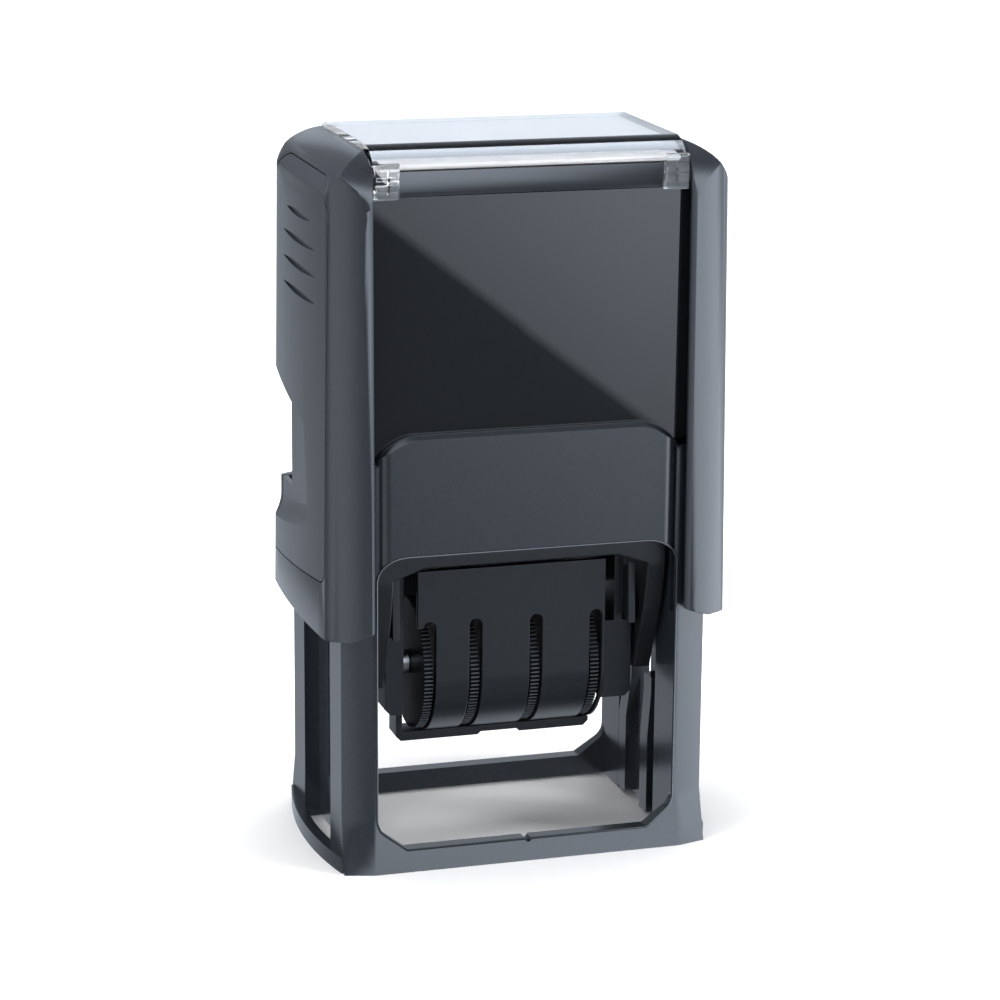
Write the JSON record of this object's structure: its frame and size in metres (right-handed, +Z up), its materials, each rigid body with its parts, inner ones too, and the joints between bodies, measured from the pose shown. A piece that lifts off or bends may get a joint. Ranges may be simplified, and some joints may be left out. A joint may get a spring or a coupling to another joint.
{
  "type": "date stamp",
  "caption": "Self-inking date stamp: a frame with a sprung casing that slides down over it, a platen that turns over to print, four date wheels and a pull-out ink pad.",
  "frame": {"origin": "middle of the foot, on the paper", "axes": "+Z up, +X to the right seen from the front, +Y to the back"},
  "size_m": [0.0572, 0.0354, 0.0978],
  "materials": {
    "frame_black": "fine matte moulded plastic",
    "casing_black": "satin moulded plastic",
    "side_grey": "matte moulded plastic",
    "panel_gloss": "polished plastic",
    "window_clear": "clear plastic",
    "card_white": "paper card",
    "platen_black": "satin moulded plastic",
    "dater_black": "matte moulded plastic",
    "wheel_black": "toothed moulded plastic",
    "stamp_rubber": "moulded rubber",
    "felt": "inked felt",
    "steel": "bright steel wire"
  },
  "bodies": {
    "frame": {"base_frame": "frame_black", "return_spring_left": "steel", "return_spring_right": "steel"},
    "cartridge": {"pad_tray": "platen_black", "ink_pad": "felt"},
    "casing": {"casing": "casing_black", "front_panel": "panel_gloss", "rear_panel": "panel_gloss", "side_panel_left": "side_grey", "side_panel_right": "side_grey", "carrier": "platen_black", "index_card": "card_white"},
    "window": {"index_window": "window_clear"},
    "platen": {"platen": "platen_black", "text_die": "stamp_rubber", "date_housing": "dater_black", "date_cover_front": "dater_black", "date_cover_rear": "dater_black", "band_bridge": "dater_black", "wheel_shaft": "steel", "date_band_1": "stamp_rubber", "date_band_2": "stamp_rubber", "date_band_3": "stamp_rubber", "date_band_4": "stamp_rubber"},
    "wheel_1": {"date_wheel_1": "wheel_black"},
    "wheel_2": {"date_wheel_2": "wheel_black"},
    "wheel_3": {"date_wheel_3": "wheel_black"},
    "wheel_4": {"date_wheel_4": "wheel_black"}
  },
  "joints": [
    {"name": "casing_press", "type": "slide", "parent": "frame", "child": "casing", "axis": [0, 0, -1], "range_m": [0, 0.024], "stiffness_N_per_m": 400, "springref_m": -0.01, "deforming": ["return_spring_left", "return_spring_right"]},
    {"name": "platen_flip", "type": "hinge", "parent": "casing", "child": "platen", "pos_m": [0, 0, 0.034], "axis": [1, 0, 0], "range_deg": [0, 180]},
    {"name": "cartridge_slide", "type": "slide", "parent": "frame", "child": "cartridge", "axis": [0, -1, 0], "range_m": [-0.04, 0]},
    {"name": "window_lift", "type": "slide", "parent": "casing", "child": "window", "axis": [0, 0, 1], "range_m": [0, 0.01]},
    {"name": "date_wheel_1_turn", "type": "hinge", "parent": "platen", "child": "wheel_1", "pos_m": [0, 0, 0.0243], "axis": [1, 0, 0], "continuous": true},
    {"name": "date_wheel_2_turn", "type": "hinge", "parent": "platen", "child": "wheel_2", "pos_m": [0, 0, 0.0243], "axis": [1, 0, 0], "continuous": true},
    {"name": "date_wheel_3_turn", "type": "hinge", "parent": "platen", "child": "wheel_3", "pos_m": [0, 0, 0.0243], "axis": [1, 0, 0], "continuous": true},
    {"name": "date_wheel_4_turn", "type": "hinge", "parent": "platen", "child": "wheel_4", "pos_m": [0, 0, 0.0243], "axis": [1, 0, 0], "continuous": true}
  ],
  "couplings": [
    {"joint": "platen_flip", "follows": "casing_press", "rad_per_m": 130.9}
  ]
}
